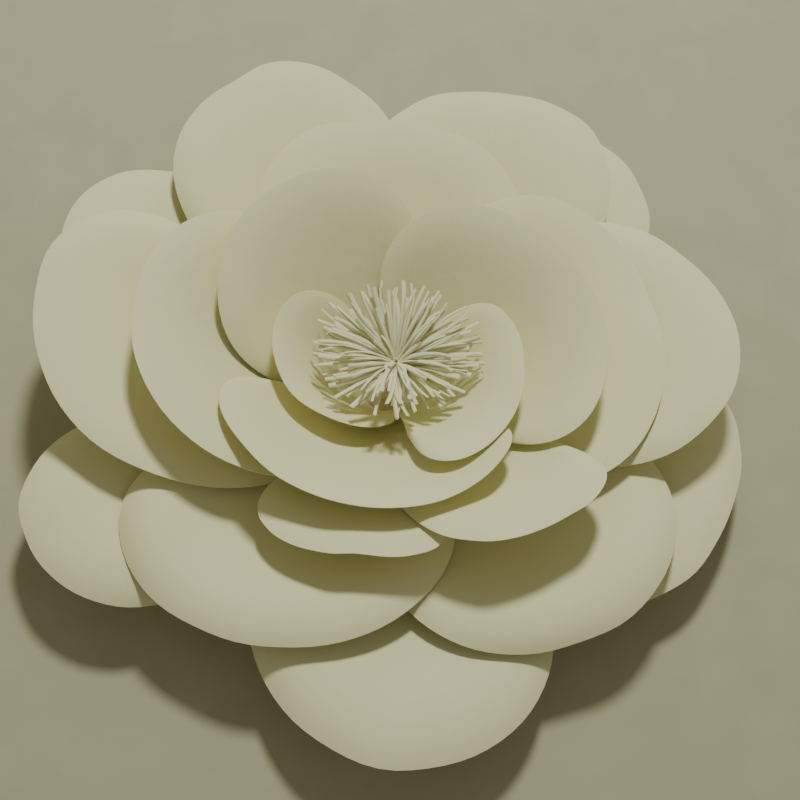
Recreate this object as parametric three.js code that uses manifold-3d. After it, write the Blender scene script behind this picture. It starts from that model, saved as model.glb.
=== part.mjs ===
// A giant paper flower: twenty-two card petals in five rings, glued by their feet to a round
// backing disc, with a rolled and fringed paper strip standing in the middle.
// Millimetres, +Z up. The backing disc lies on z = 0 and the flower opens upwards.
// Azimuths are degrees anticlockwise from +X, seen from above.
import * as THREE from "three";
import { mergeVertices } from "three/addons/utils/BufferGeometryUtils.js";
import Module from "manifold-3d";

const manifold = await Module();
manifold.setup();

const DISC_RADIUS = 75;
const DISC_THICKNESS = 2.4;
const DISC_SIDES = 64;
const SHEET_THICKNESS = 0.5;
const FOOT_HEIGHT = 3;            // centre line of the lowest point of every petal's foot
const CURL_BAND = 0.28;           // part of a petal's length that is curled back at the rim
const SIDE_FLATNESS = 0.985;      // how far a petal narrows at its two side edges
const SHORTEST_RAY = 4;           // least reach of a petal beyond its foot, at its side edges
const CELLS_ALONG = 10;
const CELLS_ACROSS = 14;
const ARC_STEPS = 40;             // steps used to follow the curve of one ray of a petal
const BEND_POWER = 1.5;           // how late along a ray its gentle bend sets in

const ROLL_RADIUS = 6.5;
const ROLL_BOTTOM = 2.8;
const ROLL_TOP = 47;
const ROLL_SIDES = 24;
const STRAND_ROOT_WIDTH = 1.1;
const STRAND_TIP_WIDTH = 2.4;
const STRAND_THICKNESS = 0.6;
const STRAND_CELLS = 3;
const MERGE_DISTANCE = 1e-4;

const IVORY = 0xece9d2;
const WARM_IVORY = 0xe6e0bf;
const KRAFT = 0xc9b48a;
const MATT = 0.85;

const radians = THREE.MathUtils.degToRad;

// What the petals of one ring share: where the cut foot stands (start is its distance from
// the point the petal fans out from) and the curl of the rim.
const OUTER = { foot: 50, start: 17, curl: 20 };
const SECOND = { foot: 39, start: 17, curl: 20 };
const THIRD = { foot: 28.5, start: 14, curl: 18 };
const FOURTH = { foot: 19, start: 12, curl: 18 };
const INNER = { foot: 13.5, start: 24, curl: 22 };

function paper(colour) {
  return new THREE.MeshStandardMaterial({ color: colour, roughness: MATT, metalness: 0 });
}

function vector(x, y, z) {
  return new THREE.Vector3(x, y, z);
}

function blend(first, firstAmount, second, secondAmount) {
  return first.clone().multiplyScalar(firstAmount).addScaledVector(second, secondAmount);
}

// The two faces and the edges of a sheet, from a grid of middle points and normals.
function closedSheet(points, normals, thickness) {
  const rows = points.length;
  const columns = points[0].length;
  const positions = [];
  for (const side of [0.5, -0.5]) {
    for (let i = 0; i < rows; i += 1) {
      for (let j = 0; j < columns; j += 1) {
        const point = points[i][j].clone().addScaledVector(normals[i][j], side * thickness);
        positions.push(point.x, point.y, point.z);
      }
    }
  }
  const index = [];
  const top = (i, j) => i * columns + j;
  const under = (i, j) => rows * columns + i * columns + j;
  const quad = (a, b, c, d) => index.push(a, b, c, a, c, d);
  for (let i = 0; i < rows - 1; i += 1) {
    for (let j = 0; j < columns - 1; j += 1) {
      quad(top(i, j), top(i + 1, j), top(i + 1, j + 1), top(i, j + 1));
      quad(under(i, j), under(i, j + 1), under(i + 1, j + 1), under(i + 1, j));
    }
  }
  const lastRow = rows - 1;
  const lastColumn = columns - 1;
  for (let i = 0; i < lastRow; i += 1) {
    quad(top(i, 0), under(i, 0), under(i + 1, 0), top(i + 1, 0));
    quad(top(i, lastColumn), top(i + 1, lastColumn), under(i + 1, lastColumn), under(i, lastColumn));
  }
  for (let j = 0; j < lastColumn; j += 1) {
    quad(top(0, j), top(0, j + 1), under(0, j + 1), under(0, j));
    quad(top(lastRow, j), under(lastRow, j), under(lastRow, j + 1), top(lastRow, j + 1));
  }
  const geometry = new THREE.BufferGeometry();
  geometry.setAttribute("position", new THREE.Float32BufferAttribute(positions, 3));
  geometry.setIndex(index);
  return geometry;
}

// The frame of a petal. Its flat card is rolled into part of a cone whose point is at the
// fan point: along is the middle ray, across runs anticlockwise, inward faces the axis.
function petalFrame(petal) {
  const azimuth = radians(petal.azimuth);
  const rise = radians(petal.rise);
  const tilt = radians(petal.tilt);
  const along = vector(
    Math.cos(rise) * Math.cos(azimuth),
    Math.cos(rise) * Math.sin(azimuth),
    Math.sin(rise),
  );
  const level = vector(-Math.sin(azimuth), Math.cos(azimuth), 0);
  const upright = along.clone().cross(level);
  const across = blend(level, Math.cos(tilt), upright, Math.sin(tilt));
  const inward = blend(level, -Math.sin(tilt), upright, Math.cos(tilt));
  const cone = radians(petal.cone);
  const axis = blend(along, Math.cos(cone), inward, Math.sin(cone));
  const spoke = blend(along, -Math.sin(cone), inward, Math.cos(cone));
  return { across, axis, spoke, cone };
}

// One ray of a petal: its direction, its normal, and its curve away from a straight line.
// side runs from -1 at the clockwise edge to 1 at the anticlockwise edge, and square tells how
// square the outline is on each of the two sides.
function petalRay(petal, frame, side) {
  const { across, axis, spoke, cone } = frame;
  const turn = (side * radians(petal.spread)) / Math.sin(cone);
  const round = blend(spoke, -Math.cos(turn), across, Math.sin(turn));
  const direction = blend(axis, Math.cos(cone), round, Math.sin(cone));
  const normal = blend(round, -Math.cos(cone), axis, Math.sin(cone));
  const square = petal.square[side > 0 ? 1 : 0];
  const narrowing = (1 - SIDE_FLATNESS * Math.abs(side) ** square) ** (1 / square);
  const outline = petal.length * narrowing * (1 + petal.lean * side);
  const reach = Math.max(outline, petal.start + SHORTEST_RAY);
  const bandStart = Math.max(petal.start, reach - CURL_BAND * petal.length);
  const bendAt = (distance) => {
    const inBand = Math.max(0, (distance - bandStart) / (CURL_BAND * petal.length));
    const bend = radians(petal.bend) * (distance / petal.length) ** BEND_POWER;
    return bend + radians(petal.curl) * inBand * inBand;
  };
  const curve = [{ forward: petal.start, down: 0, angle: bendAt(petal.start) }];
  const step = (reach - petal.start) / ARC_STEPS;
  for (let i = 1; i <= ARC_STEPS; i += 1) {
    const before = curve[i - 1];
    const angle = bendAt(petal.start + i * step);
    const middle = (before.angle + angle) / 2;
    curve.push({
      forward: before.forward + Math.cos(middle) * step,
      down: before.down + Math.sin(middle) * step,
      angle,
    });
  }
  return { direction, normal, curve };
}

// A petal stands on the disc on the lowest point of its foot, and fans out and up from there.
function petalGeometry(petal) {
  const frame = petalFrame(petal);
  const rays = [];
  for (let j = 0; j <= CELLS_ACROSS; j += 1) {
    const side = Math.sin(((2 * j) / CELLS_ACROSS - 1) * (Math.PI / 2));
    rays.push(petalRay(petal, frame, side));
  }
  const lowest = Math.min(...rays.map((ray) => ray.direction.z * petal.start));
  const fanRadius = petal.foot - petal.start * Math.cos(radians(petal.rise));
  const fanPoint = vector(
    fanRadius * Math.cos(radians(petal.azimuth)),
    fanRadius * Math.sin(radians(petal.azimuth)),
    FOOT_HEIGHT - lowest,
  );
  const points = [];
  const normals = [];
  for (let i = 0; i <= CELLS_ALONG; i += 1) {
    const sample = Math.round((i * ARC_STEPS) / CELLS_ALONG);
    points.push(rays.map((ray) => {
      const { forward, down } = ray.curve[sample];
      return fanPoint.clone().addScaledVector(ray.direction, forward).addScaledVector(ray.normal, -down);
    }));
    normals.push(rays.map((ray) => {
      const { angle } = ray.curve[sample];
      return blend(ray.normal, Math.cos(angle), ray.direction, Math.sin(angle));
    }));
  }
  return closedSheet(points, normals, SHEET_THICKNESS);
}

function petal(name, ring, shape) {
  const whole = { bend: 0, tilt: 0, lean: 0, ...ring, ...shape };
  const mesh = new THREE.Mesh(petalGeometry(whole), paper(IVORY));
  mesh.name = name;
  return mesh;
}

// One cut strand of the fringe: a flat strip that leaves the top of the roll and bends out.
function strandGeometry(azimuth, root, tip) {
  const outward = vector(Math.cos(azimuth), Math.sin(azimuth), 0);
  const across = vector(-Math.sin(azimuth), Math.cos(azimuth), 0);
  const knee = vector(root.radius, tip.height, 0);
  const points = [];
  const normals = [];
  for (let i = 0; i <= STRAND_CELLS; i += 1) {
    const t = i / STRAND_CELLS;
    const early = (1 - t) * (1 - t);
    const middle = 2 * t * (1 - t);
    const late = t * t;
    const radius = early * root.radius + middle * knee.x + late * tip.radius;
    const height = early * root.height + middle * knee.y + late * tip.height;
    const outSlope = 2 * (1 - t) * (knee.x - root.radius) + 2 * t * (tip.radius - knee.x);
    const upSlope = 2 * (1 - t) * (knee.y - root.height) + 2 * t * (tip.height - knee.y);
    const normal = vector(0, 0, outSlope).addScaledVector(outward, -upSlope).normalize();
    const centre = vector(0, 0, height).addScaledVector(outward, radius);
    const width = THREE.MathUtils.lerp(STRAND_ROOT_WIDTH, STRAND_TIP_WIDTH, t);
    points.push([-0.5, 0.5].map((half) => centre.clone().addScaledVector(across, half * width)));
    normals.push([normal, normal]);
  }
  return closedSheet(points, normals, STRAND_THICKNESS);
}

function toSolid(geometry) {
  const bare = geometry.clone();
  bare.deleteAttribute("normal");
  bare.deleteAttribute("uv");
  const merged = mergeVertices(bare, MERGE_DISTANCE);
  const mesh = new manifold.Mesh({
    numProp: 3,
    vertProperties: new Float32Array(merged.attributes.position.array),
    triVerts: new Uint32Array(merged.index.array),
  });
  return new manifold.Manifold(mesh);
}

function toGeometry(solid) {
  const mesh = solid.getMesh();
  const geometry = new THREE.BufferGeometry();
  geometry.setAttribute("position", new THREE.Float32BufferAttribute(mesh.vertProperties, 3));
  geometry.setIndex(Array.from(mesh.triVerts));
  return geometry;
}

// The fringe: a tight roll of paper whose top is cut into strands, spread in four rings.
function fringeMesh() {
  const rings = [
    { count: 30, offset: 0, root: { radius: 5.4, height: 43 }, tip: { radius: 48, height: 64 } },
    { count: 24, offset: 0.4, root: { radius: 4.2, height: 44 }, tip: { radius: 43, height: 69 } },
    { count: 14, offset: 0.9, root: { radius: 3, height: 45 }, tip: { radius: 32, height: 71 } },
    { count: 5, offset: 0.2, root: { radius: 1.6, height: 45 }, tip: { radius: 13, height: 66 } },
  ];
  const roll = new THREE.CylinderGeometry(ROLL_RADIUS, ROLL_RADIUS, ROLL_TOP - ROLL_BOTTOM, ROLL_SIDES);
  roll.rotateX(Math.PI / 2);
  roll.translate(0, 0, (ROLL_TOP + ROLL_BOTTOM) / 2);
  const solids = [toSolid(roll)];
  for (const ring of rings) {
    for (let i = 0; i < ring.count; i += 1) {
      const azimuth = (2 * Math.PI * (i + ring.offset)) / ring.count;
      solids.push(toSolid(strandGeometry(azimuth, ring.root, ring.tip)));
    }
  }
  const mesh = new THREE.Mesh(toGeometry(manifold.Manifold.union(solids)), paper(WARM_IVORY));
  mesh.name = "fringe_centre";
  return mesh;
}

function discMesh() {
  const geometry = new THREE.CylinderGeometry(DISC_RADIUS, DISC_RADIUS, DISC_THICKNESS, DISC_SIDES);
  const mesh = new THREE.Mesh(geometry, paper(KRAFT));
  mesh.name = "backing_disc";
  mesh.rotation.x = Math.PI / 2;
  mesh.position.z = DISC_THICKNESS / 2;
  return mesh;
}

function ringGroup(name, petals) {
  const group = new THREE.Group();
  group.name = name;
  group.add(...petals);
  return group;
}

const flower = new THREE.Group();
flower.name = "giant_paper_flower";
flower.add(discMesh());

flower.add(ringGroup("outer_ring", [
  petal("outer_petal_bottom", OUTER, {
    azimuth: 270, length: 204, spread: 51, rise: 18, cone: 73,
    bend: 2, tilt: -1, lean: 0.08, curl: 44, square: [1.9, 1.9],
  }),
  petal("outer_petal_lower_left", OUTER, {
    azimuth: 211, length: 202, spread: 35, rise: 18, cone: 75,
    bend: 3, tilt: 3, lean: -0.02, curl: 38, square: [1.9, 2.1],
  }),
  petal("outer_petal_upper_right", OUTER, {
    azimuth: 49, length: 184, spread: 40, rise: 14, cone: 76,
    tilt: -1, lean: -0.04, curl: 22, square: [1.9, 3],
  }),
  petal("outer_petal_upper_left", OUTER, {
    azimuth: 152, length: 192, spread: 40, rise: 15, cone: 76,
    tilt: 2, lean: 0.02, foot: 48, curl: 22, square: [1.9, 1.9],
  }),
  petal("outer_petal_lower_right", OUTER, {
    azimuth: 344, length: 184, spread: 48, rise: 14, cone: 77,
    bend: 2, tilt: -2, lean: 0.02, foot: 48, curl: 34, square: [4.2, 1.9],
  }),
  petal("outer_petal_top", OUTER, {
    azimuth: 103, length: 188, spread: 30, rise: 16, cone: 76,
    tilt: 1, lean: 0.12, foot: 46, curl: 22, square: [1.9, 3.2],
  }),
]));

flower.add(ringGroup("second_ring", [
  petal("second_petal_upper_left", SECOND, {
    azimuth: 116, length: 198, spread: 39, rise: 23, cone: 68,
    bend: 3, tilt: -1, lean: -0.06, foot: 41, curl: 22, square: [1.9, 2.6],
  }),
  petal("second_petal_lower_right", SECOND, {
    azimuth: 306, length: 180, spread: 52, rise: 23, cone: 57,
    bend: 1, tilt: -2, lean: 0.12, foot: 41, curl: 54, square: [2.6, 2.1],
  }),
  petal("second_petal_lower_left", SECOND, {
    azimuth: 250, length: 170, spread: 53, rise: 24, cone: 50,
    bend: -1, tilt: 10, lean: -0.26, curl: 60, square: [3, 2.5],
  }),
  petal("second_petal_upper_right", SECOND, {
    azimuth: 65, length: 188, spread: 43, rise: 24, cone: 61,
    bend: 1, tilt: 3, lean: -0.18, curl: 22, square: [1.9, 3.6],
  }),
  petal("second_petal_left", SECOND, {
    azimuth: 190, length: 190, spread: 50, rise: 26, cone: 57,
    bend: -5, tilt: 3, lean: -0.28, foot: 37, curl: 32, square: [2.5, 2],
  }),
  petal("second_petal_right", SECOND, {
    azimuth: 10, length: 188, spread: 51, rise: 25, cone: 54,
    bend: -4, lean: -0.2, foot: 37, curl: 30, square: [1.9, 2.5],
  }),
]));

flower.add(ringGroup("third_ring", [
  petal("third_petal_top", THIRD, {
    azimuth: 97, length: 154, spread: 50, rise: 33, cone: 55,
    bend: 6, tilt: 2, lean: 0.04, foot: 31, square: [4.3, 2.4],
  }),
  petal("third_petal_bottom", THIRD, {
    azimuth: 253, length: 138, spread: 29, rise: 40, cone: 56,
    bend: 4, tilt: 10, lean: 0.02, foot: 31, curl: 30, square: [3.5, 6.7],
  }),
  petal("third_petal_right", THIRD, {
    azimuth: 13, length: 154, spread: 58, rise: 32, cone: 55,
    bend: 4, tilt: 3, lean: -0.02, square: [3.7, 3.2],
  }),
  petal("third_petal_left", THIRD, {
    azimuth: 188, length: 164, spread: 61, rise: 38, cone: 51,
    bend: -8, lean: -0.08, curl: 24, square: [2.4, 1.9],
  }),
  petal("third_petal_lower_right", THIRD, {
    azimuth: 297, length: 154, spread: 29, rise: 41, cone: 42,
    bend: -2, tilt: -9, lean: 0.04, foot: 26, curl: 32, square: [2.4, 6.7],
  }),
]));

flower.add(ringGroup("fourth_ring", [
  petal("fourth_petal_bottom", FOURTH, {
    azimuth: 255, length: 134, spread: 54, rise: 43, cone: 48,
    bend: -6, tilt: 5, lean: -0.06, square: [5.2, 6.6],
  }),
  petal("fourth_petal_upper_left", FOURTH, {
    azimuth: 137, length: 142, spread: 52, rise: 47, cone: 56,
    bend: -1, tilt: -5, lean: -0.02, square: [2.5, 2.3],
  }),
  petal("fourth_petal_right", FOURTH, {
    azimuth: 30, length: 134, spread: 60, rise: 45, cone: 45,
    tilt: 7, lean: -0.14, square: [4.1, 3.2],
  }),
]));

flower.add(ringGroup("inner_ring", [
  petal("inner_petal_left", INNER, {
    azimuth: 198, length: 108, spread: 47, rise: 54, cone: 30,
    bend: 1, tilt: 3, lean: -0.24, foot: 15.5, square: [2.3, 2.5],
  }),
  petal("inner_petal_right", INNER, {
    azimuth: 344, length: 118, spread: 33, rise: 61, cone: 30,
    bend: 17, tilt: -1, lean: -0.14, square: [7.6, 4.8],
  }),
]));

flower.add(fringeMesh());

export default flower;
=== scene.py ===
"""A giant paper flower: five rings of cupped card petals round a fringed paper centre.

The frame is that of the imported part: the backing disc lies on z = 0 and the flower opens
upwards. Meshes are built in metres; the sizes of the petals and of the fringe are given in
millimetres. Azimuths are degrees anticlockwise from +X, seen from above.
"""

import logging
import math
from collections.abc import Sequence
from dataclasses import dataclass, field
from enum import Enum

import bpy
import numpy as np
from mathutils import Matrix, Vector


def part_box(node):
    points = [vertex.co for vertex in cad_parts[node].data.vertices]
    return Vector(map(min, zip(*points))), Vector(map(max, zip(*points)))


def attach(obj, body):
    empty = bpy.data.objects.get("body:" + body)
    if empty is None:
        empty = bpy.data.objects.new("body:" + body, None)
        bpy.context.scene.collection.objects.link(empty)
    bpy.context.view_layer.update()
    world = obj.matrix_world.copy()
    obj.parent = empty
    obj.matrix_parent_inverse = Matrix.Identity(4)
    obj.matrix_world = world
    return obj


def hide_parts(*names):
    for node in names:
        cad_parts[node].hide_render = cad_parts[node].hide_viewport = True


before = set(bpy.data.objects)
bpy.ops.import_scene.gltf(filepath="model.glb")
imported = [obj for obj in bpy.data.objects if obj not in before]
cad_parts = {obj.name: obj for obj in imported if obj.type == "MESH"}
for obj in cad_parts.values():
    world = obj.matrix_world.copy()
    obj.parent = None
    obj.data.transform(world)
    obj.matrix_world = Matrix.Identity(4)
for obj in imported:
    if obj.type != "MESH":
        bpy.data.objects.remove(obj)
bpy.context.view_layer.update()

LOG = logging.getLogger("flower")
MM = 0.001
Tone = tuple[float, float, float, float]
Span = tuple[float, float]
BODY = "root"


class Slot(Enum):
    """The record's material slots."""

    CARD = "ivory_card"
    FRINGE = "fringe_paper"
    BOARD = "kraft_board"


# ---------------------------------------------------------------------------------------
# Finishes


class NodeBoard:
    """Adds nodes to a node tree and links them."""

    def __init__(self, tree: bpy.types.NodeTree) -> None:
        """Keeps the tree.

        Args:
            tree: The node tree to add to.
        """
        self.tree = tree

    def add(self, kind: str, inputs: dict | None = None, **settings: object) -> bpy.types.Node:
        """Adds one node.

        Args:
            kind: The node's type name.
            inputs: A value or an output socket for each input, by input name or number.
            settings: Properties of the node itself.

        Returns:
            The new node.
        """
        node = self.tree.nodes.new(kind)
        for name, value in settings.items():
            setattr(node, name, value)
        for key, value in (inputs or {}).items():
            if isinstance(value, bpy.types.NodeSocket):
                self.tree.links.new(value, node.inputs[key])
            else:
                node.inputs[key].default_value = value
        return node

    def math(self, operation: str, *values: object) -> bpy.types.NodeSocket:
        """Adds a Math node and returns its result.

        Args:
            operation: The operation's name.
            values: A number or an output socket for each input.

        Returns:
            The result socket.
        """
        node = self.add("ShaderNodeMath", dict(enumerate(values)), operation=operation)
        return node.outputs[0]


def new_material(name: str) -> tuple[bpy.types.Material, NodeBoard, bpy.types.Node]:
    """Makes a material that holds only a surface shader.

    Args:
        name: The material's name.

    Returns:
        The material, its node board and its surface shader node.
    """
    material = bpy.data.materials.new(name)
    material.use_nodes = True
    material.node_tree.nodes.clear()
    board = NodeBoard(material.node_tree)
    shader = board.add("ShaderNodeBsdfPrincipled")
    board.add("ShaderNodeOutputMaterial", {"Surface": shader.outputs["BSDF"]})
    return material, board, shader


def noise(
    board: NodeBoard, place: bpy.types.NodeSocket, scale: float, detail: float
) -> bpy.types.NodeSocket:
    """Adds a noise texture.

    Args:
        board: The material's node board.
        place: The coordinates it follows.
        scale: How fine it is.
        detail: How many finer layers it has.

    Returns:
        Its value, about 0 to 1.
    """
    texture = board.add("ShaderNodeTexNoise", {"Vector": place, "Scale": scale, "Detail": detail})
    return texture.outputs["Fac"]


def two_tones(
    board: NodeBoard,
    share: bpy.types.NodeSocket,
    span: Span,
    deep: Tone,
    light: Tone,
) -> bpy.types.NodeSocket:
    """Adds a ramp between two tones.

    Args:
        board: The material's node board.
        share: What the ramp follows.
        span: Where the ramp starts and ends.
        deep: The tone at the start.
        light: The tone at the end.

    Returns:
        The colour.
    """
    ramp = board.add("ShaderNodeValToRGB", {"Fac": share})
    for stop, position, tone in zip(ramp.color_ramp.elements, span, (deep, light)):
        stop.position = position
        stop.color = tone
    return ramp.outputs["Color"]


@dataclass(frozen=True)
class CardFinish:
    """Smooth matt card: two close tones, a fine tooth, and faint lines where it was curled."""

    name: str
    light_tone: Tone
    deep_tone: Tone
    tone_scale: float = 16.0
    tone_detail: float = 4.0
    tone_span: Span = (0.3, 0.7)
    tooth_scale: float = 1500.0
    tooth_detail: float = 2.0
    tooth_depth: float = 0.00006
    cloud_scale: float = 120.0
    cloud_detail: float = 3.0
    cloud_depth: float = 0.0002
    low_roughness: float = 0.72
    high_roughness: float = 0.9
    specular: float = 0.28
    curl_lines: bool = True
    curl_line_depth: float = 0.00005
    curl_line_stretch: tuple[float, float, float] = (46.0, 2.5, 1.0)
    curl_line_detail: float = 2.0
    curl_line_band: Span = (0.62, 0.9)

    def material(self) -> bpy.types.Material:
        """Builds the card material.

        Returns:
            The material.
        """
        material, board, shader = new_material(self.name)
        place = board.add("ShaderNodeTexCoord").outputs["Object"]
        tone = noise(board, place, self.tone_scale, self.tone_detail)
        colour = two_tones(board, tone, self.tone_span, self.deep_tone, self.light_tone)
        tooth = noise(board, place, self.tooth_scale, self.tooth_detail)
        cloud = noise(board, place, self.cloud_scale, self.cloud_detail)
        rough = board.add(
            "ShaderNodeMapRange",
            {"Value": cloud, "To Min": self.low_roughness, "To Max": self.high_roughness},
        )
        fine = board.add("ShaderNodeBump", {"Height": tooth, "Distance": self.tooth_depth})
        soft = board.add(
            "ShaderNodeBump",
            {"Height": cloud, "Distance": self.cloud_depth, "Normal": fine.outputs["Normal"]},
        )
        normal = soft.outputs["Normal"]
        if self.curl_lines:
            normal = self.curl_marks(board, normal)
        board.tree.links.new(colour, shader.inputs["Base Color"])
        board.tree.links.new(rough.outputs["Result"], shader.inputs["Roughness"])
        board.tree.links.new(normal, shader.inputs["Normal"])
        shader.inputs["Specular IOR Level"].default_value = self.specular
        return material

    def curl_marks(self, board: NodeBoard, normal: bpy.types.NodeSocket) -> bpy.types.NodeSocket:
        """Adds faint lines along the rim, where the card was drawn over an edge to curl it.

        Args:
            board: The material's node board.
            normal: The normal found so far.

        Returns:
            The normal with the lines in it.
        """
        sheet = board.add("ShaderNodeUVMap", uv_map=Petal.UV_NAME).outputs["UV"]
        stretched = board.add(
            "ShaderNodeMapping", {"Vector": sheet, "Scale": self.curl_line_stretch}
        )
        lines = noise(board, stretched.outputs["Vector"], 1.0, self.curl_line_detail)
        along = board.add("ShaderNodeSeparateXYZ", {"Vector": sheet}).outputs["X"]
        start, full = self.curl_line_band
        band = board.add(
            "ShaderNodeMapRange", {"Value": along, "From Min": start, "From Max": full}
        )
        height = board.math("MULTIPLY", lines, band.outputs["Result"])
        marks = board.add(
            "ShaderNodeBump", {"Height": height, "Distance": self.curl_line_depth, "Normal": normal}
        )
        return marks.outputs["Normal"]


@dataclass(frozen=True)
class BoardFinish:
    """Pale brown pressed board with short fibres and flecks in it."""

    name: str = "kraft_board"
    light_tone: Tone = (0.76, 0.68, 0.46, 1.0)
    deep_tone: Tone = (0.68, 0.59, 0.38, 1.0)
    fleck_tone: Tone = (0.2, 0.13, 0.07, 1.0)
    tone_span: Span = (0.32, 0.7)
    fibre_stretch: tuple[float, float, float] = (1.0, 5.0, 1.0)
    fibre_scale: float = 220.0
    fibre_detail: float = 5.0
    fibre_roughness: float = 0.65
    fibre_depth: float = 0.0002
    fleck_scale: float = 260.0
    fleck_edge: Span = (0.08, 0.16)
    fleck_share: float = 0.7
    low_roughness: float = 0.8
    high_roughness: float = 0.95

    def material(self) -> bpy.types.Material:
        """Builds the board material.

        Returns:
            The material.
        """
        material, board, shader = new_material(self.name)
        place = board.add("ShaderNodeTexCoord").outputs["Object"]
        drawn = board.add("ShaderNodeMapping", {"Vector": place, "Scale": self.fibre_stretch})
        way = drawn.outputs["Vector"]
        fibre = board.add(
            "ShaderNodeTexNoise",
            {
                "Vector": way,
                "Scale": self.fibre_scale,
                "Detail": self.fibre_detail,
                "Roughness": self.fibre_roughness,
            },
        ).outputs["Fac"]
        fleck = board.add("ShaderNodeTexVoronoi", {"Vector": way, "Scale": self.fleck_scale})
        base = two_tones(board, fibre, self.tone_span, self.deep_tone, self.light_tone)
        core, edge = self.fleck_edge
        dots = board.add(
            "ShaderNodeMapRange",
            {
                "Value": fleck.outputs["Distance"],
                "From Min": core,
                "From Max": edge,
                "To Min": self.fleck_share,
                "To Max": 0.0,
            },
        )
        colour = board.add("ShaderNodeMix", data_type="RGBA")
        first, second = [item for item in colour.inputs if item.type == "RGBA"]
        board.tree.links.new(dots.outputs["Result"], colour.inputs["Factor"])
        board.tree.links.new(base, first)
        second.default_value = self.fleck_tone
        mixed = next(item for item in colour.outputs if item.type == "RGBA")
        rough = board.add(
            "ShaderNodeMapRange",
            {"Value": fibre, "To Min": self.low_roughness, "To Max": self.high_roughness},
        )
        bump = board.add("ShaderNodeBump", {"Height": fibre, "Distance": self.fibre_depth})
        board.tree.links.new(mixed, shader.inputs["Base Color"])
        board.tree.links.new(rough.outputs["Result"], shader.inputs["Roughness"])
        board.tree.links.new(bump.outputs["Normal"], shader.inputs["Normal"])
        return material


@dataclass(frozen=True)
class FloorFinish:
    """A plain pale painted surface with a very slight unevenness."""

    name: str = "pale_floor"
    light_tone: Tone = (0.485, 0.465, 0.30, 1.0)
    deep_tone: Tone = (0.455, 0.435, 0.28, 1.0)
    tone_span: Span = (0.35, 0.65)
    cloud_scale: float = 30.0
    cloud_detail: float = 6.0
    cloud_depth: float = 0.0004
    roughness: float = 0.9
    specular: float = 0.2

    def material(self) -> bpy.types.Material:
        """Builds the floor material.

        Returns:
            The material.
        """
        material, board, shader = new_material(self.name)
        place = board.add("ShaderNodeTexCoord").outputs["Object"]
        cloud = noise(board, place, self.cloud_scale, self.cloud_detail)
        colour = two_tones(board, cloud, self.tone_span, self.deep_tone, self.light_tone)
        bump = board.add("ShaderNodeBump", {"Height": cloud, "Distance": self.cloud_depth})
        board.tree.links.new(colour, shader.inputs["Base Color"])
        board.tree.links.new(bump.outputs["Normal"], shader.inputs["Normal"])
        shader.inputs["Roughness"].default_value = self.roughness
        shader.inputs["Specular IOR Level"].default_value = self.specular
        return material


# ---------------------------------------------------------------------------------------
# Shared mesh work


def mesh_object(name: str, points: np.ndarray, faces: Sequence[Sequence[int]]) -> bpy.types.Object:
    """Makes a mesh object at the origin and links it to the scene.

    Args:
        name: The object's name.
        points: One row of x, y and z for each vertex, in metres.
        faces: The vertex numbers of each face.

    Returns:
        The new object.
    """
    mesh = bpy.data.meshes.new(name)
    mesh.from_pydata(points.tolist(), [], faces)
    mesh.update()
    piece = bpy.data.objects.new(name, mesh)
    bpy.context.scene.collection.objects.link(piece)
    return piece


def settle(piece: bpy.types.Object, slot: Slot, *nodes: str) -> None:
    """Puts a finished piece on the flower's body, in place of its CAD nodes.

    Args:
        piece: The finished piece.
        slot: Not used.
        nodes: The CAD nodes that it stands for.
    """
    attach(piece, BODY)
    if nodes:
        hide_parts(*nodes)
    LOG.info("%s: %d faces", piece.name, len(piece.data.polygons))


# ---------------------------------------------------------------------------------------
# Petals


@dataclass(frozen=True)
class PetalRing:
    """What the petals of one ring share, in millimetres and degrees.

    foot is the radius at which the middle of the cut foot stands, start is the distance from
    the point the petal fans out from to that foot, and curl is how far the rim bends back.
    """

    foot: float
    start: float
    curl: float


class Ring(Enum):
    """The five rings of petals, from the outside in."""

    OUTER = PetalRing(foot=50, start=17, curl=20)
    SECOND = PetalRing(foot=39, start=17, curl=20)
    THIRD = PetalRing(foot=28.5, start=14, curl=18)
    FOURTH = PetalRing(foot=19, start=12, curl=18)
    INNER = PetalRing(foot=13.5, start=24, curl=22)


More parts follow.
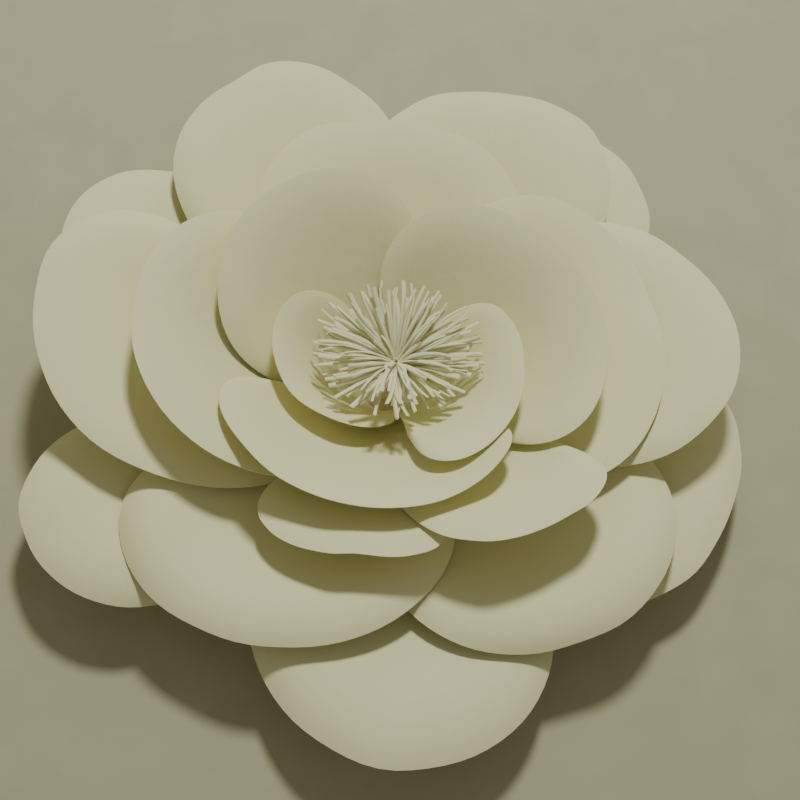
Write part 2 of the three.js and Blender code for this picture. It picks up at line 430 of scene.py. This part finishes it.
@dataclass
class Petal:
    """One card petal: a flat shape rolled into part of a cone and curled back at its rim.

    Lengths are in millimetres and angles in degrees, as the part's source gives them. square
    tells how square the outline is on its clockwise side and on its anticlockwise side.
    """

    node: str
    ring: Ring
    azimuth: float
    length: float
    spread: float
    rise: float
    cone: float
    square: tuple[float, float]
    bend: float = 0.0
    tilt: float = 0.0
    lean: float = 0.0
    foot: float | None = None
    curl: float | None = None
    seed: int = 0

    UV_NAME = "sheet"
    CURL_BAND = 0.28
    SIDE_FLATNESS = 0.985
    SHORTEST_RAY = 4.0
    FOOT_HEIGHT = 3.0
    THICKNESS = 0.42
    CELLS_ALONG = 44
    CELLS_ACROSS = 68
    ARC_STEPS = 176
    BEND_POWER = 1.5
    SHARP_ANGLE = 50.0

    # How uneven the card is: the rim's height, its curl and its cut line. Each wave has its
    # slowest pace across the petal and its own start.
    BUCKLE = 1.3
    BUCKLE_WAVE = (1.6, 0.6)
    CURL_CHANGE = 0.22
    CURL_WAVE = (1.3, 4.1)
    CUT_CHANGE = 0.006
    CUT_WAVE = (3.0, 1.7)
    WAVE_STRENGTHS = (0.55, 0.3, 0.15)
    WAVE_PACE_STEP = 0.85
    WAVE_START_STEP = 0.37
    SEED_STEP = 2.399

    def waves(self, side: np.ndarray, lowest: float, phase_step: float) -> np.ndarray:
        """A gentle uneven wave across the petal, between about -1 and 1.

        Args:
            side: Places across the petal, from -1 to 1.
            lowest: The slowest wave, in half turns from the middle to a side.
            phase_step: What tells one use of the wave from another.

        Returns:
            One value for each place.
        """
        start = self.seed * self.SEED_STEP + phase_step
        total = np.zeros_like(side)
        for number, strength in enumerate(self.WAVE_STRENGTHS):
            pace = lowest * (1.0 + self.WAVE_PACE_STEP * number)
            begin = start * (1.0 + self.WAVE_START_STEP * number)
            total += strength * np.sin(pace * math.pi * side + begin)
        return total

    def directions(self) -> tuple[np.ndarray, np.ndarray, np.ndarray, np.ndarray]:
        """Finds the petal's frame.

        Returns:
            The directions across the petal, along the cone's axis and out along its spoke,
            and the outward direction of the foot on the disc.
        """
        azimuth = math.radians(self.azimuth)
        rise = math.radians(self.rise)
        tilt = math.radians(self.tilt)
        cone = math.radians(self.cone)
        outward = np.array([math.cos(azimuth), math.sin(azimuth), 0.0])
        level = np.array([-math.sin(azimuth), math.cos(azimuth), 0.0])
        along = math.cos(rise) * outward + math.sin(rise) * np.array([0.0, 0.0, 1.0])
        upright = np.cross(along, level)
        across = math.cos(tilt) * level + math.sin(tilt) * upright
        inward = math.cos(tilt) * upright - math.sin(tilt) * level
        axis = math.cos(cone) * along + math.sin(cone) * inward
        spoke = math.cos(cone) * inward - math.sin(cone) * along
        return across, axis, spoke, outward

    def middle_sheet(self) -> tuple[np.ndarray, np.ndarray]:
        """The grid of points on the middle of the card, and the card's normals there.

        Returns:
            Points and normals, each of shape (along, across, 3), in millimetres.
        """
        across, axis, spoke, outward = self.directions()
        shared = self.ring.value
        cone = math.radians(self.cone)
        side = np.sin(np.linspace(-1.0, 1.0, self.CELLS_ACROSS + 1) * math.pi / 2)
        turn = side * math.radians(self.spread) / math.sin(cone)
        cos_turn, sin_turn = np.cos(turn)[:, None], np.sin(turn)[:, None]
        round_way = sin_turn * across - cos_turn * spoke
        ray = math.cos(cone) * axis + math.sin(cone) * round_way
        normal = math.sin(cone) * axis - math.cos(cone) * round_way

        power = np.where(side > 0.0, self.square[1], self.square[0])
        narrowing = (1.0 - self.SIDE_FLATNESS * np.abs(side) ** power) ** (1.0 / power)
        outline = self.length * narrowing * (1.0 + self.lean * side)
        reach = np.maximum(outline, shared.start + self.SHORTEST_RAY)
        reach *= 1.0 + self.CUT_CHANGE * self.waves(side, *self.CUT_WAVE)
        step = (reach - shared.start) / self.ARC_STEPS
        distance = shared.start + np.arange(self.ARC_STEPS + 1)[:, None] * step
        band = self.CURL_BAND * self.length
        band_start = np.maximum(reach - band, shared.start)
        in_band = np.clip((distance - band_start) / band, 0.0, 1.0)
        curl = math.radians(self.curl or shared.curl)
        curl = curl * (1.0 + self.CURL_CHANGE * self.waves(side, *self.CURL_WAVE))
        share = distance / self.length
        angle = math.radians(self.bend) * share**self.BEND_POWER + curl * in_band**2
        middle = (angle[1:] + angle[:-1]) / 2
        forward = np.zeros_like(distance)
        forward[0] = shared.start
        forward[1:] = shared.start + np.cumsum(np.cos(middle) * step, axis=0)
        down = np.zeros_like(distance)
        down[1:] = np.cumsum(np.sin(middle) * step, axis=0)
        down -= self.BUCKLE * share**2 * self.waves(side, *self.BUCKLE_WAVE)

        foot = (self.foot or shared.foot) - shared.start * math.cos(math.radians(self.rise))
        fan_point = foot * outward
        fan_point[2] = self.FOOT_HEIGHT - float((ray[:, 2] * shared.start).min())
        rows = np.arange(self.CELLS_ALONG + 1) * (self.ARC_STEPS // self.CELLS_ALONG)
        points = fan_point + forward[rows, :, None] * ray - down[rows, :, None] * normal
        lie = angle[rows, :, None]
        return points, np.cos(lie) * normal + np.sin(lie) * ray

    def closed_card(self) -> tuple[np.ndarray, list[tuple[int, ...]], np.ndarray]:
        """Gives the middle sheet its thickness.

        Returns:
            The vertices in metres, the faces, and the place on the sheet of each vertex.
        """
        points, normals = self.middle_sheet()
        rows, columns = points.shape[:2]
        half = self.THICKNESS / 2
        vertices = np.concatenate([points + half * normals, points - half * normals]).reshape(-1, 3)
        upper = np.arange(rows * columns).reshape(rows, columns)
        lower = upper + rows * columns
        faces = [*quads(upper[:-1, :-1], upper[1:, :-1], upper[1:, 1:], upper[:-1, 1:])]
        faces += quads(lower[:-1, :-1], lower[:-1, 1:], lower[1:, 1:], lower[1:, :-1])
        faces += quads(upper[:-1, 0], lower[:-1, 0], lower[1:, 0], upper[1:, 0])
        faces += quads(upper[:-1, -1], upper[1:, -1], lower[1:, -1], lower[:-1, -1])
        faces += quads(upper[0, :-1], upper[0, 1:], lower[0, 1:], lower[0, :-1])
        faces += quads(upper[-1, :-1], lower[-1, :-1], lower[-1, 1:], upper[-1, 1:])
        along, over = np.meshgrid(
            np.linspace(0, 1, rows), np.linspace(0, 1, columns), indexing="ij"
        )
        place = np.stack([along.ravel(), over.ravel()], axis=1)
        return vertices * MM, faces, np.concatenate([place, place])

    def build(self, finish: bpy.types.Material) -> bpy.types.Object:
        """Builds the petal and dresses it.

        Args:
            finish: The card material.

        Returns:
            The finished piece.
        """
        vertices, faces, place = self.closed_card()
        piece = mesh_object(f"{self.node}_card", vertices, faces)
        mesh = piece.data
        sheet = mesh.uv_layers.new(name=self.UV_NAME)
        corner = np.zeros(len(mesh.loops), dtype=np.int32)
        mesh.loops.foreach_get("vertex_index", corner)
        sheet.data.foreach_set("uv", place[corner].ravel())
        mesh.polygons.foreach_set("use_smooth", np.ones(len(mesh.polygons), dtype=bool))
        mesh.set_sharp_from_angle(angle=math.radians(self.SHARP_ANGLE))
        mesh.materials.append(finish)
        settle(piece, Slot.CARD, self.node)
        return piece


def quads(*corners: np.ndarray) -> list[tuple[int, ...]]:
    """Lists faces from equal grids of vertex numbers, one grid for each corner."""
    return [tuple(face) for face in np.stack([c.ravel() for c in corners], axis=1).tolist()]


@dataclass
class Corolla:
    """All the petals of the flower, ring by ring."""

    finish: CardFinish
    petals: list[Petal] = field(default_factory=list)

    def design(self) -> None:
        """Lists the petals from the outside in, as they were glued down."""
        outer, second, third, fourth, inner = Ring
        self.petals = [
            Petal(
                "outer_petal_bottom", outer, 270, 204, 51, 18, 73, (1.9, 1.9),
                bend=2, tilt=-1, lean=0.08, curl=44,
            ),
            Petal(
                "outer_petal_lower_left", outer, 211, 202, 35, 18, 75, (1.9, 2.1),
                bend=3, tilt=3, lean=-0.02, curl=38,
            ),
            Petal(
                "outer_petal_upper_right", outer, 49, 184, 40, 14, 76, (1.9, 3),
                tilt=-1, lean=-0.04, curl=22,
            ),
            Petal(
                "outer_petal_upper_left", outer, 152, 192, 40, 15, 76, (1.9, 1.9),
                tilt=2, lean=0.02, foot=48, curl=22,
            ),
            Petal(
                "outer_petal_lower_right", outer, 344, 184, 48, 14, 77, (4.2, 1.9),
                bend=2, tilt=-2, lean=0.02, foot=48, curl=34,
            ),
            Petal(
                "outer_petal_top", outer, 103, 188, 30, 16, 76, (1.9, 3.2),
                tilt=1, lean=0.12, foot=46, curl=22,
            ),
            Petal(
                "second_petal_upper_left", second, 116, 198, 39, 23, 68, (1.9, 2.6),
                bend=3, tilt=-1, lean=-0.06, foot=41, curl=22,
            ),
            Petal(
                "second_petal_lower_right", second, 306, 180, 52, 23, 57, (2.6, 2.1),
                bend=1, tilt=-2, lean=0.12, foot=41, curl=54,
            ),
            Petal(
                "second_petal_lower_left", second, 250, 170, 53, 24, 50, (3, 2.5),
                bend=-1, tilt=10, lean=-0.26, curl=60,
            ),
            Petal(
                "second_petal_upper_right", second, 65, 188, 43, 24, 61, (1.9, 3.6),
                bend=1, tilt=3, lean=-0.18, curl=22,
            ),
            Petal(
                "second_petal_left", second, 190, 190, 50, 26, 57, (2.5, 2),
                bend=-5, tilt=3, lean=-0.28, foot=37, curl=32,
            ),
            Petal(
                "second_petal_right", second, 10, 188, 51, 25, 54, (1.9, 2.5),
                bend=-4, lean=-0.2, foot=37, curl=30,
            ),
            Petal(
                "third_petal_top", third, 97, 154, 50, 33, 55, (4.3, 2.4),
                bend=6, tilt=2, lean=0.04, foot=31,
            ),
            Petal(
                "third_petal_bottom", third, 253, 138, 29, 40, 56, (3.5, 6.7),
                bend=4, tilt=10, lean=0.02, foot=31, curl=30,
            ),
            Petal(
                "third_petal_right", third, 13, 154, 58, 32, 55, (3.7, 3.2),
                bend=4, tilt=3, lean=-0.02,
            ),
            Petal(
                "third_petal_left", third, 188, 164, 61, 38, 51, (2.4, 1.9),
                bend=-8, lean=-0.08, curl=24,
            ),
            Petal(
                "third_petal_lower_right", third, 297, 154, 29, 41, 42, (2.4, 6.7),
                bend=-2, tilt=-9, lean=0.04, foot=26, curl=32,
            ),
            Petal(
                "fourth_petal_bottom", fourth, 255, 134, 54, 43, 48, (5.2, 6.6),
                bend=-6, tilt=5, lean=-0.06,
            ),
            Petal(
                "fourth_petal_upper_left", fourth, 137, 142, 52, 47, 56, (2.5, 2.3),
                bend=-1, tilt=-5, lean=-0.02,
            ),
            Petal(
                "fourth_petal_right", fourth, 30, 134, 60, 45, 45, (4.1, 3.2),
                tilt=7, lean=-0.14,
            ),
            Petal(
                "inner_petal_left", inner, 198, 108, 47, 54, 30, (2.3, 2.5),
                bend=1, tilt=3, lean=-0.24, foot=15.5,
            ),
            Petal(
                "inner_petal_right", inner, 344, 118, 33, 61, 30, (7.6, 4.8),
                bend=17, tilt=-1, lean=-0.14,
            ),
        ]
        for number, petal in enumerate(self.petals):
            petal.seed = number

    def build(self) -> list[bpy.types.Object]:
        """Builds every petal.

        Returns:
            The finished pieces.
        """
        self.design()
        material = self.finish.material()
        return [petal.build(material) for petal in self.petals]


# ---------------------------------------------------------------------------------------
# Fringed centre


@dataclass(frozen=True)
class StrandRing:
    """One ring of cut strands of the fringe, in millimetres and degrees."""

    count: int
    root_radius: float
    root_height: float
    tip_radius: float
    tip_height: float
    arch: float
    scatter: float
    twist: float
    seed: int


@dataclass
class StrandTree:
    """The node tree that adds one ring of strands to a mesh, each strand a bent flat strip."""

    name: str = "strand_ring"
    steps: int = 8
    strand_width: float = 2.1
    strand_thickness: float = 0.14
    squash: float = 0.88
    blank_length: float = 0.01
    root_share: Span = (0.35, 1.0)
    tip_share: Span = (0.76, 1.04)
    lift_share: Span = (-1.0, 1.0)
    knee_share: Span = (0.3, 0.5)
    arch_share: Span = (0.4, 1.2)
    hook_start: float = 0.68
    hook: Span = (-0.022, 0.026)
    spacing: Span = (-0.7, 0.7)
    sway: Span = (-0.15, 0.15)
    kink: Span = (-0.012, 0.012)
    kink_pace: float = 7.0
    twist_share: Span = (-1.0, 1.0)
    width_share: Span = (0.6, 1.4)
    tree: bpy.types.NodeTree | None = None

    def make(self) -> None:
        """Builds the tree with its named inputs."""
        self.tree = bpy.data.node_groups.new(self.name, "GeometryNodeTree")
        face = self.tree.interface
        face.new_socket("Geometry", in_out="INPUT", socket_type="NodeSocketGeometry")
        face.new_socket("Count", in_out="INPUT", socket_type="NodeSocketInt")
        for name in (
            "Root Radius",
            "Root Height",
            "Tip Radius",
            "Tip Height",
            "Arch",
            "Scatter",
            "Twist",
            "Width",
            "Thickness",
        ):
            face.new_socket(name, in_out="INPUT", socket_type="NodeSocketFloat")
        face.new_socket("Seed", in_out="INPUT", socket_type="NodeSocketInt")
        face.new_socket("Paper", in_out="INPUT", socket_type="NodeSocketMaterial")
        face.new_socket("Geometry", in_out="OUTPUT", socket_type="NodeSocketGeometry")
        board = NodeBoard(self.tree)
        given = board.add("NodeGroupInput").outputs
        curves = self.bare_strands(board, given)
        strips = self.shaped_strips(board, given, curves)
        joined = board.add("GeometryNodeJoinGeometry")
        self.tree.links.new(strips, joined.inputs["Geometry"])
        self.tree.links.new(given["Geometry"], joined.inputs["Geometry"])
        real = board.add("GeometryNodeRealizeInstances", {"Geometry": joined.outputs["Geometry"]})
        dressed = board.add(
            "GeometryNodeSetMaterial",
            {"Geometry": real.outputs["Geometry"], "Material": given["Paper"]},
        )
        board.add("NodeGroupOutput", {"Geometry": dressed.outputs["Geometry"]})

    def bare_strands(self, board: NodeBoard, given: object) -> bpy.types.NodeSocket:
        """Makes as many short upright curves as there are strands, all in one place.

        Args:
            board: The tree's node board.
            given: The tree's inputs.

        Returns:
            The socket that carries the curves.
        """
        line = board.add("GeometryNodeCurvePrimitiveLine", {"End": (0.0, 0.0, self.blank_length)})
        cut = board.add(
            "GeometryNodeResampleCurve", {"Curve": line.outputs["Curve"], "Count": self.steps + 1}
        )
        spots = board.add("GeometryNodePoints", {"Count": given["Count"]})
        placed = board.add(
            "GeometryNodeInstanceOnPoints",
            {"Points": spots.outputs[0], "Instance": cut.outputs["Curve"]},
        )
        real = board.add("GeometryNodeRealizeInstances", {"Geometry": placed.outputs["Instances"]})
        return real.outputs["Geometry"]

    def shaped_strips(
        self, board: NodeBoard, given: object, curves: bpy.types.NodeSocket
    ) -> bpy.types.NodeSocket:
        """Bends each curve out from the roll and gives it its flat cut section.

        Args:
            board: The tree's node board.
            given: The tree's inputs.
            curves: The socket that carries the bare curves.

        Returns:
            The socket that carries the strips.
        """
        calc = board.math
        owner = board.add("GeometryNodeCurveOfPoint").outputs
        number = owner["Curve Index"]
        along = calc("DIVIDE", owner["Index in Curve"], float(self.steps))

        def chance(span: Span, which: int) -> bpy.types.NodeSocket:
            """A random number in a span for each strand."""
            seed = calc("ADD", given["Seed"], float(which))
            node = board.add("FunctionNodeRandomValue", data_type="FLOAT")
            named = {(s.name, s.type): s for s in node.inputs}
            named["Min", "VALUE"].default_value = span[0]
            named["Max", "VALUE"].default_value = span[1]
            self.tree.links.new(number, named["ID", "INT"])
            self.tree.links.new(seed, named["Seed", "INT"])
            return next(s for s in node.outputs if s.type == "VALUE" and s.enabled)

        root_radius = calc("MULTIPLY", given["Root Radius"], chance(self.root_share, 1))
        tip_radius = calc("MULTIPLY", given["Tip Radius"], chance(self.tip_share, 2))
        lift = calc("MULTIPLY", given["Scatter"], chance(self.lift_share, 3))
        tip_height = calc("ADD", given["Tip Height"], lift)
        reach = calc("SUBTRACT", tip_radius, root_radius)
        knee_radius = calc("MULTIPLY_ADD", reach, chance(self.knee_share, 4), root_radius)
        climb = calc("SUBTRACT", tip_height, given["Root Height"])
        half_way = calc("MULTIPLY_ADD", climb, 0.5, given["Root Height"])
        knee_height = calc("MULTIPLY_ADD", given["Arch"], chance(self.arch_share, 5), half_way)
        back = calc("SUBTRACT", 1.0, along)
        early = calc("MULTIPLY", back, back)
        middle = calc("MULTIPLY", calc("MULTIPLY", along, back), 2.0)
        late = calc("MULTIPLY", along, along)

        def bent(first: object, second: object, third: object) -> bpy.types.NodeSocket:
            """A value that follows the strand's quadratic curve."""
            start = calc("MULTIPLY", early, first)
            to_knee = calc("MULTIPLY_ADD", middle, second, start)
            return calc("MULTIPLY_ADD", late, third, to_knee)

        radius = bent(root_radius, knee_radius, tip_radius)
        height = bent(given["Root Height"], knee_height, tip_height)
        tip_part = calc("MAXIMUM", calc("SUBTRACT", along, self.hook_start), 0.0)
        hook = calc("MULTIPLY", calc("MULTIPLY", tip_part, tip_part), chance(self.hook, 6))
        height = calc("ADD", height, hook)
        spaced = calc("ADD", number, chance(self.spacing, 7))
        turn = calc("DIVIDE", calc("MULTIPLY", spaced, math.tau), given["Count"])
        sway = calc("MULTIPLY", late, chance(self.sway, 8))
        ripple = calc("SINE", calc("MULTIPLY", along, self.kink_pace))
        kink = calc("MULTIPLY", ripple, chance(self.kink, 9))
        turn = calc("ADD", calc("ADD", turn, sway), kink)
        across = calc("MULTIPLY", radius, calc("COSINE", turn))
        up_page = calc("MULTIPLY", calc("MULTIPLY", radius, self.squash), calc("SINE", turn))
        place = board.add("ShaderNodeCombineXYZ", {"X": across, "Y": up_page, "Z": height})
        moved = board.add(
            "GeometryNodeSetPosition", {"Geometry": curves, "Position": place.outputs["Vector"]}
        )
        lying = board.add(
            "GeometryNodeSetCurveNormal", {"Curve": moved.outputs["Geometry"]}, mode="Z_UP"
        )
        twist = calc("MULTIPLY", along, given["Twist"])
        roll = calc("MULTIPLY", twist, chance(self.twist_share, 10))
        turned = board.add(
            "GeometryNodeSetCurveTilt", {"Curve": lying.outputs["Curve"], "Tilt": roll}
        )
        section = board.add(
            "GeometryNodeCurvePrimitiveQuadrilateral",
            {"Width": given["Width"], "Height": given["Thickness"]},
            mode="RECTANGLE",
        )
        strips = board.add(
            "GeometryNodeCurveToMesh",
            {
                "Curve": turned.outputs["Curve"],
                "Profile Curve": section.outputs["Curve"],
                "Scale": chance(self.width_share, 11),
                "Fill Caps": True,
            },
        )
        return strips.outputs["Mesh"]

    def apply_to(
        self, piece: bpy.types.Object, ring: StrandRing, paper: bpy.types.Material
    ) -> None:
        """Adds a modifier that puts one ring of strands on a piece.

        Args:
            piece: The piece that gets the strands.
            ring: The sizes of the ring.
            paper: The paper material.
        """
        modifier = piece.modifiers.new(f"strands_{ring.seed}", "NODES")
        modifier.node_group = self.tree
        values = {
            "Count": ring.count,
            "Root Radius": ring.root_radius * MM,
            "Root Height": ring.root_height * MM,
            "Tip Radius": ring.tip_radius * MM,
            "Tip Height": ring.tip_height * MM,
            "Arch": ring.arch * MM,
            "Scatter": ring.scatter * MM,
            "Twist": math.radians(ring.twist),
            "Width": self.strand_width * MM,
            "Thickness": self.strand_thickness * MM,
            "Seed": ring.seed,
            "Paper": paper,
        }
        for socket in self.tree.interface.items_tree:
            if socket.in_out == "INPUT" and socket.name in values:
                modifier[socket.identifier] = values[socket.name]


@dataclass
class FringeCentre:
    """The middle of the flower: a wound paper strip whose top is cut into spreading strands."""

    finish: CardFinish
    node: str = "fringe_centre"
    bottom: float = 3.0
    top: float = 47.5
    inside: float = 1.2
    outside: float = 6.4
    paper: float = 0.28
    turns: float = 9.5
    steps_a_turn: int = 30
    rings: tuple[StrandRing, ...] = (
        StrandRing(54, 6.2, 47.0, 50.0, 62.0, 3.0, 2.0, 40, seed=11),
        StrandRing(48, 5.2, 47.0, 49.0, 65.0, 4.0, 2.0, 45, seed=23),
        StrandRing(40, 4.2, 47.0, 45.0, 68.0, 5.0, 2.5, 50, seed=37),
        StrandRing(24, 3.2, 47.0, 36.0, 69.0, 6.0, 3.0, 55, seed=41),
        StrandRing(10, 2.4, 46.5, 15.0, 60.0, 4.0, 3.0, 60, seed=59),
    )

    def wound_strip(self) -> tuple[np.ndarray, list[tuple[int, ...]]]:
        """The uncut lower part of the strip, wound round itself from the middle outwards.

        Returns:
            The vertices in metres and the faces.
        """
        count = int(self.turns * self.steps_a_turn)
        share = np.linspace(0.0, 1.0, count + 1)
        turn = share * self.turns * math.tau
        middle = self.inside + (self.outside - self.inside) * share
        corners = []
        for shift, height in (
            (self.paper / 2, self.bottom),
            (self.paper / 2, self.top),
            (-self.paper / 2, self.top),
            (-self.paper / 2, self.bottom),
        ):
            radius = middle + shift
            tall = np.full_like(radius, height)
            corners.append(np.stack([radius * np.cos(turn), radius * np.sin(turn), tall], axis=1))
        vertices = np.stack(corners, axis=1).reshape(-1, 3)
        number = np.arange((count + 1) * 4).reshape(count + 1, 4)
        faces: list[tuple[int, ...]] = []
        for side in range(4):
            following = (side + 1) % 4
            faces += quads(
                number[:-1, side], number[1:, side], number[1:, following], number[:-1, following]
            )
        faces.append(tuple(number[0].tolist()))
        faces.append(tuple(reversed(number[-1].tolist())))
        return vertices * MM, faces

    def build(self) -> bpy.types.Object:
        """Builds the centre as one plain mesh and dresses it.

        Returns:
            The finished piece.
        """
        material = self.finish.material()
        vertices, faces = self.wound_strip()
        roll = mesh_object("wound_strip", vertices, faces)
        roll.data.materials.append(material)
        strands = StrandTree()
        strands.make()
        for ring in self.rings:
            strands.apply_to(roll, ring, material)
        depsgraph = bpy.context.evaluated_depsgraph_get()
        mesh = bpy.data.meshes.new_from_object(roll.evaluated_get(depsgraph))
        bpy.data.objects.remove(roll)
        mesh.name = "fringe"
        piece = bpy.data.objects.new("fringe", mesh)
        bpy.context.scene.collection.objects.link(piece)
        settle(piece, Slot.FRINGE, self.node)
        return piece


# ---------------------------------------------------------------------------------------
# Backing disc


@dataclass
class BackingDisc:
    """The round board that the petals are glued to, with a softened cut edge."""

    finish: BoardFinish
    node: str = "backing_disc"
    sides: int = 160
    edge: float = 0.0005
    edge_steps: int = 3
    sharp_angle: float = 35.0

    def build(self) -> bpy.types.Object:
        """Builds the disc and dresses it.

        Returns:
            The finished piece.
        """
        low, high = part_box(self.node)
        radius = (high.x - low.x) / 2
        turn = np.arange(self.sides) / self.sides * math.tau
        profile = []
        for step in range(self.edge_steps + 1):
            bend = math.pi / 2 * step / self.edge_steps
            inset = self.edge * (1 - math.sin(bend))
            profile.append((radius - inset, low.z + self.edge * (1 - math.cos(bend))))
        for step in range(self.edge_steps + 1):
            bend = math.pi / 2 * step / self.edge_steps
            inset = self.edge * (1 - math.cos(bend))
            profile.append((radius - inset, high.z - self.edge * (1 - math.sin(bend))))
        rings = [
            np.stack([r * np.cos(turn), r * np.sin(turn), np.full(self.sides, z)], axis=1)
            for r, z in profile
        ]
        number = np.arange(len(profile) * self.sides).reshape(len(profile), self.sides)
        after = np.roll(number, -1, axis=1)
        faces = quads(number[:-1], after[:-1], after[1:], number[1:])
        faces.append(tuple(reversed(number[0].tolist())))
        faces.append(tuple(number[-1].tolist()))
        piece = mesh_object("backing_board", np.concatenate(rings), faces)
        piece.data.polygons.foreach_set("use_smooth", np.ones(len(piece.data.polygons), dtype=bool))
        piece.data.set_sharp_from_angle(angle=math.radians(self.sharp_angle))
        piece.data.materials.append(self.finish.material())
        settle(piece, Slot.BOARD, self.node)
        return piece


# ---------------------------------------------------------------------------------------
# Stage


@dataclass
class Studio:
    """The camera, a plain pale floor and plain soft light."""

    finish: FloorFinish
    aim: tuple[float, float, float] = (0.006, -0.003, 0.0)
    camera_elevation: float = 65.0
    camera_left_turn: float = 10.0
    camera_distance: float = 0.8
    lens: float = 59.04
    clip: Span = (0.02, 60.0)
    floor_half: float = 40.0
    floor_drop: float = 0.0004
    key_place: tuple[float, float, float] = (0.05, 0.64, 1.28)
    key_size: float = 0.2
    key_power: float = 14.5
    key_colour: tuple[float, float, float] = (0.925, 1.0, 0.95)
    fill_colour: Tone = (1.0, 0.97, 0.84, 1.0)
    fill_strength: float = 0.25

    def camera(self) -> None:
        """Sets the camera over the flower, from below its middle and a little to the left.

        The camera is rolled so that +Y stands upright in its view.
        """
        lift = math.radians(self.camera_elevation)
        turn = math.radians(self.camera_left_turn)
        aim = Vector(self.aim)
        back = Vector(
            (-math.sin(turn) * math.cos(lift), -math.cos(turn) * math.cos(lift), math.sin(lift))
        )
        right = Vector((0.0, 1.0, 0.0)).cross(back).normalized()
        above = back.cross(right)
        data = bpy.data.cameras.new("camera")
        data.lens = self.lens
        data.clip_start, data.clip_end = self.clip
        camera = bpy.data.objects.new("camera", data)
        camera.location = aim + back * self.camera_distance
        camera.rotation_euler = Matrix((right, above, back)).transposed().to_euler()
        bpy.context.scene.collection.objects.link(camera)
        bpy.context.scene.camera = camera

    def floor(self) -> None:
        """Lays the floor under the flower."""
        half = self.floor_half
        corners = np.array([[-half, -half], [half, -half], [half, half], [-half, half]])
        points = np.column_stack([corners, np.full(4, -self.floor_drop)])
        floor = mesh_object("floor", points, [(0, 1, 2, 3)])
        floor.data.materials.append(self.finish.material())

    def light(self) -> None:
        """Hangs one soft lamp behind the top of the flower and fills the shadows evenly."""
        way = Vector(self.key_place)
        data = bpy.data.lights.new("key_light", "AREA")
        data.shape = "DISK"
        data.size = self.key_size
        data.energy = self.key_power
        data.color = self.key_colour
        lamp = bpy.data.objects.new("key_light", data)
        lamp.location = way
        lamp.rotation_euler = way.to_track_quat("Z", "Y").to_euler()
        bpy.context.scene.collection.objects.link(lamp)
        world = bpy.data.worlds.new("even_fill")
        world.use_nodes = True
        fill = world.node_tree.nodes["Background"]
        fill.inputs["Color"].default_value = self.fill_colour
        fill.inputs["Strength"].default_value = self.fill_strength
        bpy.context.scene.world = world

    def build(self) -> None:
        """Sets up the whole stage."""
        self.camera()
        self.floor()
        self.light()


def main() -> None:
    """Builds the flower and its stage in order."""
    logging.basicConfig(level=logging.INFO, format="%(message)s")
    card = CardFinish("ivory_card", (0.84, 0.80, 0.475, 1.0), (0.82, 0.78, 0.45, 1.0))
    strip = CardFinish(
        "fringe_paper",
        (0.87, 0.83, 0.56, 1.0),
        (0.83, 0.79, 0.50, 1.0),
        tone_scale=60.0,
        curl_lines=False,
    )
    Studio(FloorFinish()).build()
    BackingDisc(BoardFinish()).build()
    Corolla(card).build()
    FringeCentre(strip).build()


if __name__ == "__main__":
    main()
